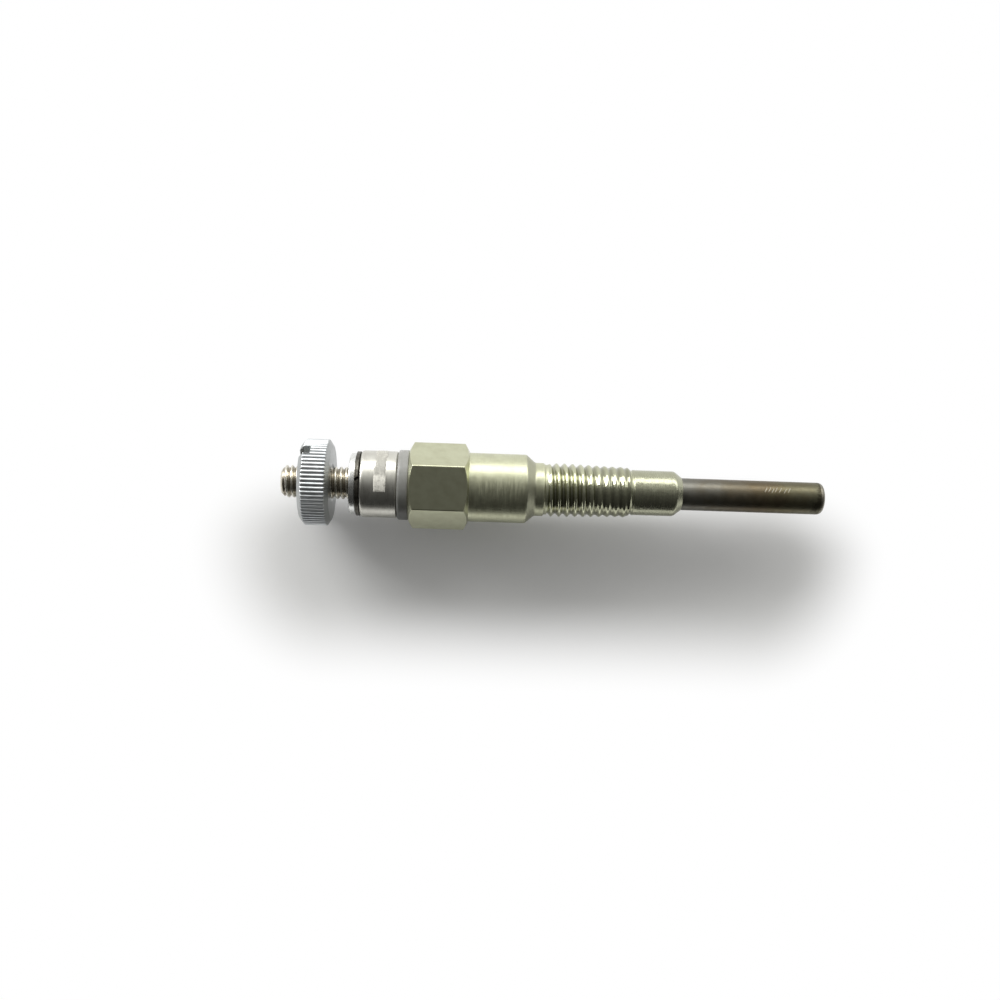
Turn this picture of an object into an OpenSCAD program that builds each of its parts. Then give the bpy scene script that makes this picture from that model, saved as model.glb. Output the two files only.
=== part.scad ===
// Diesel glow plug with a screw terminal, lying on one hexagon flat.
// The plug's axis is X, with +X towards the heater tip. X = 0 is where the engine thread starts.

/* [Housing] */
// Width of the spanner hexagon across its flats
hex_across_flats = 14; // [13:0.5:17]
// Length of the spanner hexagon
hex_length = 11; // [8:0.5:16]
// How far the hexagon's end chamfers cut in from its flats, measured on the radius
hex_face_relief = 0.35; // [0.1:0.05:0.8]
// Slope of the hexagon's end chamfers
hex_chamfer_angle = 30; // [15:1:45]
// Diameter of the round body beside the hexagon
body_diameter = 12.8; // [11.5:0.1:13]
// Length of the round body
body_length = 10.6; // [6:0.2:20]
// Half angle of the sealing cone
seat_half_angle = 41; // [30:1:60]
// Diameter of the plain neck between the sealing cone and the thread
neck_diameter = 9.9; // [9:0.1:10.5]
// Length of the plain neck
neck_length = 2.3; // [1:0.1:6]
// Width of the relief groove between the neck and the thread
relief_width = 0.7; // [0.4:0.1:0.9]
// Depth of the relief groove
relief_depth = 0.3; // [0.2:0.05:0.4]
// Outside diameter of the engine thread
thread_diameter = 10; // [9.5:0.1:11]
// Length of the engine thread
thread_length = 15.6; // [10:0.2:24]
// Lead chamfer at the end of the engine thread
thread_chamfer = 0.7; // [0.2:0.1:1]
// Diameter of the pilot beyond the thread
pilot_diameter = 8.4; // [7.6:0.1:8.8]
// Length of the pilot, with its end chamfer
pilot_length = 9.5; // [5:0.5:15]
// End chamfer of the pilot, measured along the axis
pilot_chamfer = 1.4; // [0.5:0.1:2.5]
// Land left round the heater sheath at the pilot's end
pilot_land = 0.15; // [0.05:0.05:0.4]

/* [Heater] */
// Outside diameter of the heater sheath
sheath_diameter = 6; // [5:0.1:6.6]
// Wall of the heater sheath
sheath_wall = 0.6; // [0.4:0.05:0.8]
// Length of the sheath that stands out of the housing
sheath_exposed = 26.8; // [18:0.2:36]
// Length of the sheath that is pressed into the housing
sheath_pressed = 19; // [12:0.5:24]
// Outside radius of the sheath's closed tip
tip_radius = 1.8; // [1:0.1:2.2]
// Length of the packing in the sheath's mouth
seal_length = 2.5; // [1.5:0.1:4]
// Length of the heating coil's turns
coil_length = 18; // [12:0.5:19]
// Number of turns of the heating coil
coil_turns = 14; // [8:1:18]
// Diameter of the heating wire
coil_wire = 0.5; // [0.3:0.05:0.6]
// Room between the coil and the sheath's wall
coil_wall_gap = 0.5; // [0.35:0.05:0.7]
// Distance from the coil's last turn to the sheath's closed end
coil_tip_gap = 1.6; // [1:0.1:3]

/* [Terminal] */
// Outside diameter of the terminal stud
stud_diameter = 6; // [5:0.1:6.5]
// Length of the stud beyond the round nut
stud_length = 14.6; // [12.5:0.1:20]
// Chamfer on the stud's free end
stud_chamfer = 0.8; // [0.3:0.1:1.2]
// Diameter of the rod that runs through the housing
rod_diameter = 4.4; // [3.6:0.1:4.8]
// Diameter of the rod inside the sheath
tail_diameter = 3.2; // [3:0.1:3.4]
// Outside diameter of the round nut that clamps the insulator
round_nut_diameter = 12.4; // [10:0.1:13]
// Length of the round nut
round_nut_length = 6.9; // [5:0.1:10]
// Rounding of the round nut's outer corner
round_nut_radius = 0.6; // [0.2:0.1:1]
// Chamfer of the round nut's inner corner
round_nut_chamfer = 0.3; // [0.1:0.05:0.6]

/* [Insulation] */
// Outside diameter of the insulating washer's flange
insulator_diameter = 13; // [11:0.1:13.4]
// Thickness of the insulating washer's flange
insulator_flange = 2.05; // [1.2:0.05:3]
// Length of the insulating washer's spigot in the housing
insulator_spigot = 2.5; // [1.5:0.1:4]
// Rounding of the insulating washer's rim
insulator_rim = 0.4; // [0.1:0.05:0.55]
// Thickness of the sealing ring's section
seal_section = 1.8; // [1.4:0.1:2.2]

/* [Washers] */
// Outside diameter of the spring washer
spring_washer_diameter = 12; // [10:0.1:13]
// Thickness of the spring washer
spring_washer_thickness = 0.8; // [0.6:0.05:1.6]
// Width of the split in the spring washer
spring_washer_split = 0.5; // [0.2:0.1:1.2]
// Outside diameter of the plain washer
plain_washer_diameter = 11.3; // [10:0.1:14]
// Thickness of the plain washer
plain_washer_thickness = 1.1; // [0.8:0.1:1.8]
// Rounding of the plain washer's stamped edge
plain_washer_edge = 0.2; // [0.05:0.05:0.35]

/* [Terminal nut] */
// Outside diameter of the terminal nut over its knurl
nut_diameter = 16; // [13:0.1:20]
// Thickness of the terminal nut
nut_thickness = 5.65; // [4:0.05:8]
// Gap between the nut and the plain washer, where a wire's eye is clamped
nut_gap = 3.4; // [0.5:0.1:4]
// Number of knurl teeth
knurl_teeth = 64; // [40:1:80]
// Depth of the knurl
knurl_depth = 0.35; // [0.15:0.05:0.5]
// End chamfer of the nut on the radius
nut_chamfer_radial = 1.1; // [0.6:0.1:1.6]
// End chamfer of the nut along the axis
nut_chamfer_axial = 0.8; // [0.4:0.05:1.2]
// Width of the screwdriver slot
slot_width = 1.9; // [1:0.1:2.2]
// Depth of the screwdriver slot
slot_depth = 2.1; // [1:0.1:2.6]
// Turn of the slot from straight up, towards +Y
slot_turn = 51; // [0:1:180]

/* [Clearances] */
// Room round the stud in the terminal nut
nut_clearance = 0.05; // [0.03:0.01:0.1]
// Room round the stud in the two washers
washer_clearance = 0.15; // [0.1:0.05:0.25]
// Room round the insulating washer's spigot and in its bore
insulator_clearance = 0.05; // [0.02:0.01:0.15]
// Room round the heating wire in the packed powder
wire_clearance = 0.05; // [0.02:0.01:0.1]

/* [Hidden] */

// Facets that stand for a true curve, and sides and steps of the coil's swept wire
$fn = 96;
wire_sides = 8;
wire_steps = 16;
// Overlap of cutting shapes past the surface that they cut
past = 1;

// Stations along the axis, from the thread outwards to the terminal
neck_x = -neck_length;
seat_length = (body_diameter - neck_diameter) / 2 / tan(seat_half_angle);
seat_x = neck_x - seat_length;
body_x = seat_x - body_length;
hex_x = body_x - hex_length;
insulator_x = hex_x - insulator_flange;
round_nut_x = insulator_x - round_nut_length;
spring_washer_x = round_nut_x - spring_washer_thickness;
plain_washer_x = spring_washer_x - plain_washer_thickness;
nut_x = plain_washer_x - nut_gap - nut_thickness;
stud_x = round_nut_x - stud_length;

// Stations along the axis, from the thread inwards to the heater tip
pilot_x = thread_length;
pilot_end_x = pilot_x + pilot_length;
mouth_x = pilot_end_x - sheath_pressed;
tip_x = pilot_end_x + sheath_exposed;

// Bores of the housing
stud_radius = stud_diameter / 2;
counterbore_radius = stud_radius + seal_section;
counterbore_end_x = hex_x + insulator_spigot + seal_section;
rod_radius = rod_diameter / 2;
tail_radius = tail_diameter / 2;
// The stud narrows just past the middle of the sealing ring that it carries
shoulder_x = counterbore_end_x - seal_section / 3;

// Inside of the sheath
sheath_radius = sheath_diameter / 2;
sheath_bore = sheath_radius - sheath_wall;
tip_bore_radius = max(tip_radius - sheath_wall, 0.2);
sheath_end_x = tip_x - sheath_wall;
packing_end_x = mouth_x + seal_length;
coil_radius = sheath_bore - coil_wall_gap - coil_wire / 2;
coil_pitch = coil_length / coil_turns;
coil_end_x = sheath_end_x - coil_tip_gap;
coil_x = coil_end_x - coil_length;
spigot_radius = coil_radius - coil_wire / 2;
spigot_turns = 2;
spigot_end_x = coil_x + spigot_turns * coil_pitch;
// The rod's shoulder stands one wire clear of the first turn, and its taper one wall before the packing
tail_end_x = coil_x - coil_wire;
tail_x = mouth_x - sheath_wall;

// Hexagon
hex_corner_radius = hex_across_flats / 2 / cos(30);
hex_face_radius = hex_across_flats / 2 - hex_face_relief;
hex_chamfer = (hex_corner_radius - hex_face_radius) * tan(hex_chamfer_angle);

// Terminal nut
nut_radius = nut_diameter / 2;
nut_bore_radius = stud_radius + nut_clearance;
nut_countersink = 0.5;
// How far past the teeth the nut's chamfers run out
nut_chamfer_runout = 0.2;
// Half of each tooth's crest, as a share of its pitch
half_crest = 0.2;

// Split of the spring washer: its turn from straight up towards +Y, and its slant to the axis
split_turn = 12;
split_slant = 35;

// Turns a shape that stands on Z so that it lies along X, from a given station
module along_axis(x) {
    translate([x, 0, 0])
        rotate([0, 90, 0])
            children();
}

// Turns a shape about its own Z so that its local +X points up once it lies along the axis, then towards +Y
module from_top(angle) {
    rotate([0, 0, 180 - angle])
        children();
}

// Solid of revolution about the axis, from points of radius and station
module turned(points) {
    along_axis(0)
        rotate_extrude()
            polygon(points);
}

// Cylinder about the axis between two stations
module bar(radius, from_x, to_x) {
    along_axis(from_x)
        cylinder(r = radius, h = to_x - from_x);
}

// Disc with a corner of its outer rim rounded at one end or both, as a half section
module rim_section(inner, outer, length, low_round, high_round) {
    translate([inner, low_round])
        square([outer - inner, length - low_round - high_round]);
    translate([inner, 0])
        square([outer - inner - max(low_round, high_round), length]);
    if (low_round > 0)
        translate([outer - low_round, low_round])
            circle(r = low_round);
    if (high_round > 0)
        translate([outer - high_round, length - high_round])
            circle(r = high_round);
}

// Outline of the knurl: straight teeth with flat crests and sharp roots, one crest in line with the slot
module knurl_outline() {
    root_radius = nut_radius - knurl_depth;
    tooth = [[-half_crest, nut_radius], [half_crest, nut_radius], [0.5, root_radius]];
    polygon([
        for (i = [0 : knurl_teeth - 1])
            for (corner = tooth)
                let (angle = (i + corner[0]) * 360 / knurl_teeth)
                    corner[1] * [cos(angle), sin(angle)]
    ]);
}

// Nut's section without its knurl: both ends chamfered, the chamfers running out just past the teeth
module nut_envelope() {
    face_radius = nut_radius - nut_chamfer_radial;
    outer_radius = nut_radius + nut_chamfer_runout;
    run = nut_chamfer_axial * (outer_radius - face_radius) / nut_chamfer_radial;
    rotate_extrude()
        polygon([
            [0, 0],
            [face_radius, 0],
            [outer_radius, run],
            [outer_radius, nut_thickness - run],
            [face_radius, nut_thickness],
            [0, nut_thickness]
        ]);
}

// Stud hole of the nut, countersunk at both ends
module nut_hole() {
    rotate_extrude()
        polygon([
            [0, -past],
            [nut_bore_radius + nut_countersink + past, -past],
            [nut_bore_radius, nut_countersink],
            [nut_bore_radius, nut_thickness - nut_countersink],
            [nut_bore_radius + nut_countersink + past, nut_thickness + past],
            [0, nut_thickness + past]
        ]);
}

module terminal_nut() {
    color("gainsboro")
        along_axis(nut_x)
            from_top(slot_turn)
                difference() {
                    intersection() {
                        linear_extrude(nut_thickness)
                            knurl_outline();
                        nut_envelope();
                    }
                    nut_hole();
                    translate([-nut_radius - past, -slot_width / 2, -past])
                        cube([nut_diameter + 2 * past, slot_width, slot_depth + past]);
                }
}

module plain_washer() {
    color("silver")
        along_axis(plain_washer_x)
            rotate_extrude()
                rim_section(stud_radius + washer_clearance, plain_washer_diameter / 2,
                    plain_washer_thickness, plain_washer_edge, plain_washer_edge);
}

module spring_washer() {
    outer_radius = spring_washer_diameter / 2;
    color("dimgray")
        along_axis(spring_washer_x)
            difference() {
                cylinder(r = outer_radius, h = spring_washer_thickness);
                translate([0, 0, -past])
                    cylinder(r = stud_radius + washer_clearance, h = spring_washer_thickness + 2 * past);
                from_top(split_turn)
                    translate([0, 0, spring_washer_thickness / 2])
                        rotate([split_slant, 0, 0])
                            translate([0, -spring_washer_split / 2, -spring_washer_thickness - past])
                                cube([outer_radius + past, spring_washer_split,
                                    2 * (spring_washer_thickness + past)]);
            }
}

module round_nut() {
    outer_radius = round_nut_diameter / 2;
    color("lightgray")
        along_axis(round_nut_x)
            difference() {
                rotate_extrude()
                    rim_section(stud_radius, outer_radius, round_nut_length, round_nut_radius, 0);
                rotate_extrude()
                    polygon([
                        [outer_radius - round_nut_chamfer, round_nut_length],
                        [outer_radius + past, round_nut_length - round_nut_chamfer - past],
                        [outer_radius + past, round_nut_length]
                    ]);
            }
}

module insulating_washer() {
    bore = stud_radius + insulator_clearance;
    color("darkgray")
        along_axis(insulator_x)
            rotate_extrude() {
                rim_section(bore, insulator_diameter / 2, insulator_flange, insulator_rim, insulator_rim);
                translate([bore, insulator_flange / 2])
                    square([counterbore_radius - insulator_clearance - bore,
                        insulator_flange / 2 + insulator_spigot]);
            }
}

module sealing_ring() {
    color("black")
        along_axis(counterbore_end_x - seal_section / 2)
            rotate_extrude()
                translate([stud_radius + seal_section / 2, 0])
                    circle(d = seal_section);
}

module centre_electrode() {
    color("darkkhaki")
        turned([
            [0, stud_x],
            [stud_radius - stud_chamfer, stud_x],
            [stud_radius, stud_x + stud_chamfer],
            [stud_radius, shoulder_x],
            [rod_radius, shoulder_x + stud_radius - rod_radius],
            [rod_radius, tail_x - (rod_radius - tail_radius)],
            [tail_radius, tail_x],
            [tail_radius, tail_end_x],
            [spigot_radius, tail_end_x],
            [spigot_radius, spigot_end_x],
            [0, spigot_end_x]
        ]);
}

// Hexagon with both ends chamfered to a round face
module hexagon() {
    intersection() {
        along_axis(hex_x)
            rotate([0, 0, 30])
                cylinder(r = hex_corner_radius, h = hex_length, $fn = 6);
        turned([
            [0, hex_x],
            [hex_face_radius, hex_x],
            [hex_corner_radius, hex_x + hex_chamfer],
            [hex_corner_radius, body_x - hex_chamfer],
            [hex_face_radius, body_x],
            [0, body_x]
        ]);
    }
}

// Turned part of the housing, from inside the hexagon to the pilot's end
module shank() {
    turned([
        [0, hex_x + hex_length / 2],
        [body_diameter / 2, hex_x + hex_length / 2],
        [body_diameter / 2, seat_x],
        [neck_diameter / 2, neck_x],
        [neck_diameter / 2, -relief_width],
        [neck_diameter / 2 - relief_depth, -relief_width + relief_depth],
        [neck_diameter / 2 - relief_depth, 0],
        [thread_diameter / 2, 0],
        [thread_diameter / 2, thread_length - thread_chamfer],
        [thread_diameter / 2 - thread_chamfer, thread_length],
        [pilot_diameter / 2, thread_length],
        [pilot_diameter / 2, pilot_end_x - pilot_chamfer],
        [sheath_radius + pilot_land, pilot_end_x],
        [0, pilot_end_x]
    ]);
}

module housing() {
    color("tan")
        difference() {
            union() {
                hexagon();
                shank();
            }
            bar(counterbore_radius, hex_x - past, counterbore_end_x);
            bar(sheath_radius, hex_x, pilot_end_x + past);
        }
}

// Closed tube with a rounded tip, as a half section that starts at its mouth
module tube_section(radius, length, end_radius) {
    square([radius, length - end_radius]);
    square([radius - end_radius, length]);
    intersection() {
        translate([radius - end_radius, length - end_radius])
            circle(r = end_radius);
        square([radius, length]);
    }
}

module heater_sheath() {
    color("dimgray")
        along_axis(mouth_x)
            difference() {
                rotate_extrude()
                    tube_section(sheath_radius, tip_x - mouth_x, tip_radius);
                rotate_extrude()
                    tube_section(sheath_bore, sheath_end_x - mouth_x, tip_bore_radius);
            }
}

module sheath_packing() {
    color("firebrick")
        difference() {
            bar(sheath_bore, mouth_x, packing_end_x);
            bar(tail_radius, mouth_x - past, packing_end_x + past);
        }
}

// Points of one ring of the swept wire, a given number of steps along the coil
function wire_ring(step) =
    let (turn = step * 360 / wire_steps, rise = step * coil_pitch / wire_steps)
        [for (side = [0 : wire_sides - 1])
            let (angle = side * 360 / wire_sides,
                radius = coil_radius + coil_wire / 2 * cos(angle))
                [radius * cos(turn), radius * sin(turn), rise + coil_wire / 2 * sin(angle)]];

// Coiled wire, standing on Z, with a closed face at each end
module coiled_wire() {
    last = coil_turns * wire_steps;
    points = [for (step = [0 : last]) each wire_ring(step)];
    skin = [
        for (step = [0 : last - 1])
            for (side = [0 : wire_sides - 1])
                let (here = step * wire_sides, beside = (side + 1) % wire_sides)
                    each [
                        [here + side, here + beside, here + wire_sides + side],
                        [here + beside, here + wire_sides + beside, here + wire_sides + side]
                    ]
    ];
    first_face = [for (side = [wire_sides - 1 : -1 : 0]) side];
    last_face = [for (side = [0 : wire_sides - 1]) last * wire_sides + side];
    polyhedron(points, concat([first_face], skin, [last_face]), convexity = 20);
}

// Straight leads that carry the coil's last turn in to the axis and on to the sheath's end
module coil_leads(radius) {
    along_axis(coil_end_x)
        rotate([0, 90, 0])
            translate([0, 0, -radius])
                cylinder(r = radius, h = coil_radius + radius);
    bar(radius, coil_end_x, sheath_end_x);
}

module heating_coil() {
    color("goldenrod") {
        along_axis(coil_x)
            coiled_wire();
        coil_leads(coil_wire / 2);
    }
}

module magnesia_fill() {
    room = coil_wire / 2 + wire_clearance;
    color("ivory")
        difference() {
            along_axis(packing_end_x)
                rotate_extrude()
                    tube_section(sheath_bore, sheath_end_x - packing_end_x, tip_bore_radius);
            bar(tail_radius, packing_end_x - past, tail_end_x);
            bar(spigot_radius, tail_end_x - past, spigot_end_x);
            along_axis(tail_end_x)
                difference() {
                    cylinder(r = coil_radius + room, h = coil_end_x + room - tail_end_x);
                    translate([0, 0, -past])
                        cylinder(r = coil_radius - room, h = coil_length + past + coil_wire + 2 * room);
                }
            coil_leads(room);
        }
}

terminal_nut();
plain_washer();
spring_washer();
round_nut();
insulating_washer();
sealing_ring();
centre_electrode();
housing();
heater_sheath();
sheath_packing();
heating_coil();
magnesia_fill();
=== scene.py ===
import math

import bpy
import numpy as np
from mathutils import Matrix, Vector


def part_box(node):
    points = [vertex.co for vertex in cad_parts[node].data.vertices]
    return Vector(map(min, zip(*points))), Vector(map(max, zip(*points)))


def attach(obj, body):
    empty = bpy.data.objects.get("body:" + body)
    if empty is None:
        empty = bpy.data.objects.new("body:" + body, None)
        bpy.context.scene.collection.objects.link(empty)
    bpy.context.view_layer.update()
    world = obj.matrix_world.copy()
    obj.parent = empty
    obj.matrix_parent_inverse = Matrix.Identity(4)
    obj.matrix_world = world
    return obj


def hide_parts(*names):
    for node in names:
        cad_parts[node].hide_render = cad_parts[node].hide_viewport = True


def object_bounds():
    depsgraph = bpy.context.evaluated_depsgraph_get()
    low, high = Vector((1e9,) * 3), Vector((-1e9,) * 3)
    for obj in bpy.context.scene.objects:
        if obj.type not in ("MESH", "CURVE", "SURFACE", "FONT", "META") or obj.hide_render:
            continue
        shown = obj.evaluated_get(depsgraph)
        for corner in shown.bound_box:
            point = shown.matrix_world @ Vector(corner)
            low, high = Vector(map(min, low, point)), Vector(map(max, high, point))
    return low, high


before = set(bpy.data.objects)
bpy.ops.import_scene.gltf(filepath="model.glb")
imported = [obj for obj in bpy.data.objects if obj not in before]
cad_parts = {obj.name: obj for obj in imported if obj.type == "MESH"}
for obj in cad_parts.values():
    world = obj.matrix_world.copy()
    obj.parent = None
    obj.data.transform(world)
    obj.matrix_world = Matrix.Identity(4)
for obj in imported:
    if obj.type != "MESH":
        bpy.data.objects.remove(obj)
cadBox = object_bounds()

# Sizes are in millimetres, with stations along the plug's axis and radii out from it.
# Angles go round the axis in degrees, from straight up towards +Y.
mm = 0.001
print("frame loaded,", len(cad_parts), "CAD nodes")


def spanOf(node):
    low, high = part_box(node)
    return low.x / mm, high.x / mm


def radiusOf(node):
    low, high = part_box(node)
    return (high.y - low.y) / 2 / mm


# Mesh helpers

def evenAngles(count):
    return np.linspace(0, 2 * math.pi, count, endpoint=False)


def softOutline(corners, angles, steps=4, mostShare=0.4, guard=1.6, guardShare=0.48):
    # corners are (station, radius, softness); station and radius may differ from angle to angle
    flat = np.zeros(len(angles))
    points = [np.stack([flat + x, flat + r], axis=-1) for x, r, soft in corners]
    rings = [points[0]]
    for before, here, after, corner in zip(points, points[1:], points[2:], corners[1:]):
        toBefore, toAfter = before - here, after - here
        lengthBefore = np.linalg.norm(toBefore, axis=-1, keepdims=True)
        lengthAfter = np.linalg.norm(toAfter, axis=-1, keepdims=True)
        reach = np.minimum(corner[2], mostShare * np.minimum(lengthBefore, lengthAfter))
        start = here + toBefore / lengthBefore * reach
        end = here + toAfter / lengthAfter * reach
        # a guard ring on each side keeps the straight stretches flat in the shading
        rings.append(here + toBefore / lengthBefore * np.minimum(guard * reach, guardShare * lengthBefore))
        for t in np.linspace(0, 1, steps + 1):
            rings.append((1 - t) ** 2 * start + 2 * t * (1 - t) * here + t * t * end)
        rings.append(here + toAfter / lengthAfter * np.minimum(guard * reach, guardShare * lengthAfter))
    rings.append(points[-1])
    return rings


def meshObject(name, points, faces):
    mesh = bpy.data.meshes.new(name)
    mesh.from_pydata(points, [], faces)
    mesh.validate()
    mesh.shade_smooth()
    piece = bpy.data.objects.new(name, mesh)
    bpy.context.scene.collection.objects.link(piece)
    return piece


def turnedPiece(name, rings, angles, capped=False):
    # a skin over rings of (station, radius): a closed loop, or capped on the axis at both ends
    rings = np.array(rings)
    station, radius = rings[..., 0], rings[..., 1]
    points = np.stack([station, radius * np.sin(angles), radius * np.cos(angles)], axis=-1)
    points = points.reshape(-1, 3)
    index = np.arange(station.size).reshape(station.shape)
    beside = np.roll(index, -1, axis=1)
    faces = np.stack([index[:-1], index[1:], beside[1:], beside[:-1]], axis=-1)
    faces = faces.reshape(-1, 4).tolist()
    if capped:
        first, last = len(points), len(points) + 1
        points = np.vstack([points, [station[0, 0], 0, 0], [station[-1, 0], 0, 0]])
        faces += [[first, a, b] for a, b in zip(index[0].tolist(), beside[0].tolist())]
        faces += [[last, b, a] for a, b in zip(index[-1].tolist(), beside[-1].tolist())]
    else:
        faces += np.stack([index[-1], index[0], beside[0], beside[-1]], axis=-1).tolist()
    return meshObject(name, (points * mm).tolist(), faces)


def settle(piece, material, body, slot, *nodes):
    piece.data.materials.append(material)
    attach(piece, body)
    if nodes:
        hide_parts(*nodes)
    print("  made", piece.name, "with", len(piece.data.polygons), "faces")


def screwPhase(station, angles, pitch):
    # turns of a right-hand thread counted along the axis, at each angle
    return station / pitch + angles / (2 * math.pi)


def threadDepth(phase, crest, rootFrom=0.88, rounded=0.3):
    # 0 on the crest and 1 in the root, with both rounded
    away = np.abs(phase - np.round(phase)) * 2
    flank = np.clip((away - crest) / (rootFrom - crest), 0, 1)
    eased = flank * flank * (3 - 2 * flank)
    return eased * rounded + flank * (1 - rounded)


# Material helpers

def addNode(tree, kind, inputs, **settings):
    made = tree.nodes.new("ShaderNode" + kind)
    for name, value in settings.items():
        setattr(made, name, value)
    for name, value in inputs.items():
        if isinstance(value, bpy.types.NodeSocket):
            tree.links.new(value, made.inputs[name])
        else:
            made.inputs[name].default_value = value
    return made


def newMaterial(name, **sockets):
    material = bpy.data.materials.new(name)
    material.use_nodes = True
    shader = material.node_tree.nodes["Principled BSDF"]
    for socket, value in sockets.items():
        shader.inputs[socket.replace("_", " ")].default_value = value
    return material, material.node_tree, shader


lowNoise, highNoise = 0.3, 0.7  # nearly all of the noise lies between these


def speckle(tree, size, detail=3.0, roughness=0.55, squeeze=1.0, offset=0.0):
    # noise with blobs of a size in mm, drawn out round the axis where squeeze is under 1
    coords = addNode(tree, "TexCoord", {}).outputs["Object"]
    scale = 1 / (size * mm)
    place = addNode(tree, "Mapping", {"Vector": coords, "Location": (offset, offset, offset),
                                      "Scale": (scale, scale * squeeze, scale * squeeze)})
    noise = addNode(tree, "TexNoise", {"Vector": place.outputs["Vector"], "Scale": 1.0,
                                       "Detail": detail, "Roughness": roughness})
    return noise.outputs["Fac"]


def remap(tree, value, fromLow, fromHigh, toLow, toHigh):
    made = addNode(tree, "MapRange", {"Value": value, "From Min": fromLow, "From Max": fromHigh,
                                      "To Min": toLow, "To Max": toHigh})
    return made.outputs["Result"]


def combine(tree, operation, a, b):
    return addNode(tree, "Math", {0: a, 1: b}, operation=operation).outputs["Value"]


def ramp(tree, value, stops):
    made = addNode(tree, "ValToRGB", {"Fac": value})
    elements = made.color_ramp.elements
    while len(elements) < len(stops):
        elements.new(0.5)
    for element, (position, colour) in zip(elements, stops):
        element.position = position
        element.color = (*colour, 1)
    return made.outputs["Color"]


def bump(tree, height, depth, below=None):
    # depth is in mm; below is the bump that this one lies on
    inputs = {"Height": height, "Distance": depth * mm, "Strength": 1.0}
    if below is not None:
        inputs["Normal"] = below
    return addNode(tree, "Bump", inputs).outputs["Normal"]


def surfacePlace(tree):
    # where a point of the surface is: X along the axis, Y and Z across it
    position = addNode(tree, "TexCoord", {}).outputs["Object"]
    return addNode(tree, "SeparateXYZ", {"Vector": position}).outputs


def outFromAxis(tree):
    parts = surfacePlace(tree)
    across = addNode(tree, "CombineXYZ", {"Y": parts["Y"], "Z": parts["Z"]}).outputs["Vector"]
    return addNode(tree, "VectorMath", {0: across}, operation="LENGTH").outputs["Value"]


# how the plated finishes follow their noise, and how softly a band starts, in mm
platingMix = {
    "deepAt": 0.32, "tintAt": 0.62, "cloudShare": 0.2, "smoothAt": 0.35, "roughAt": 0.65, "blend": 0.1,
}


def platedMetal(look):
    # metal with a blotchy tint, lathe marks round the axis and a fine grain
    material, tree, shader = newMaterial(look["finish"], Metallic=1.0)
    cloud = speckle(tree, look["cloudSize"], detail=4.0)
    marks = speckle(tree, look["markSize"], detail=2.0, squeeze=look["markSqueeze"])
    grain = speckle(tree, look["grainSize"], detail=2.0)
    if "turnedFrom" in look:
        first = look["turnedFrom"]
        turned = remap(tree, surfacePlace(tree)["X"], (first - platingMix["blend"]) * mm, first * mm, 0, 1)
        marks = combine(tree, "MULTIPLY", marks, turned)
    colour = ramp(tree, cloud, [(platingMix["deepAt"], look["deepTint"]),
                                (platingMix["tintAt"], look["tint"])])
    # darker bands along the axis, painted shade where they darken the nut's faces
    if "dullAndShade" in look:
        colour = dullAndShadeBands(tree, look["dullAndShade"], look["dullAndShadeTint"], colour)
    # painted shade in the roots of a thread or a knurl
    if "rootShade" in look:
        colour = paintedRootShade(tree, look["rootShade"], colour)
    tree.links.new(colour, shader.inputs["Base Color"])
    cloudShare = platingMix["cloudShare"]
    mixed = combine(tree, "ADD", combine(tree, "MULTIPLY", cloud, cloudShare),
                    combine(tree, "MULTIPLY", marks, 1 - cloudShare))
    finish = remap(tree, mixed, platingMix["smoothAt"], platingMix["roughAt"], *look["roughness"])
    lathe = bump(tree, marks, look["markDepth"])
    if "burnished" in look:
        # smoother bands that are a little wavy: first station, last station, share of the roughness
        wave = speckle(tree, look["rippleSize"], detail=3.0)
        for first, last, share in look["burnished"]:
            band = bandMask(tree, first, last)
            finish = combine(tree, "MULTIPLY", finish, remap(tree, band, 0, 1, 1, share))
            lathe = bump(tree, combine(tree, "MULTIPLY", band, wave), look["rippleDepth"], lathe)
    tree.links.new(finish, shader.inputs["Roughness"])
    tree.links.new(bump(tree, grain, look["grainDepth"], lathe), shader.inputs["Normal"])
    return material


def bandMask(tree, first, last):
    # 1 between two stations along the axis, 0 elsewhere
    station, blend = surfacePlace(tree)["X"], platingMix["blend"]
    after = remap(tree, station, (first - blend) * mm, (first + blend) * mm, 0, 1)
    before = remap(tree, station, (last - blend) * mm, (last + blend) * mm, 1, 0)
    return combine(tree, "MULTIPLY", after, before)


def dullAndShadeBands(tree, bands, tint, colour):
    # bands along the axis given a darker tint, which on the nut's faces is painted shade: first station,
    # last station, share
    for first, last, share in bands:
        darkShare = combine(tree, "MULTIPLY", bandMask(tree, first, last), share)
        mixed = addNode(tree, "MixRGB", {"Fac": darkShare, "Color1": colour, "Color2": (*tint, 1)})
        colour = mixed.outputs["Color"]
    return colour


def paintedRootShade(tree, rootShade, colour, blend=0.2):
    # painted shade darkens the roots of a thread or a knurl, between two stations
    station, radius = surfacePlace(tree)["X"], outFromAxis(tree)
    deep = remap(tree, radius, rootShade["root"] * mm, rootShade["crest"] * mm, rootShade["share"], 0)
    bottom = remap(tree, radius, (rootShade["root"] - blend) * mm, (rootShade["root"] - blend / 2) * mm, 0, 1)
    after = remap(tree, station, rootShade["from"] * mm, (rootShade["from"] + blend) * mm, 0, 1)
    before = remap(tree, station, (rootShade["to"] - blend) * mm, rootShade["to"] * mm, 1, 0)
    share = combine(tree, "MULTIPLY", combine(tree, "MULTIPLY", deep, bottom),
                    combine(tree, "MULTIPLY", after, before))
    mixed = addNode(tree, "MixRGB", {"Fac": share, "Color1": colour, "Color2": (*rootShade["tint"], 1)})
    return mixed.outputs["Color"]


# Terminal nut: straight knurl, chamfered rims, screwdriver slot

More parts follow.
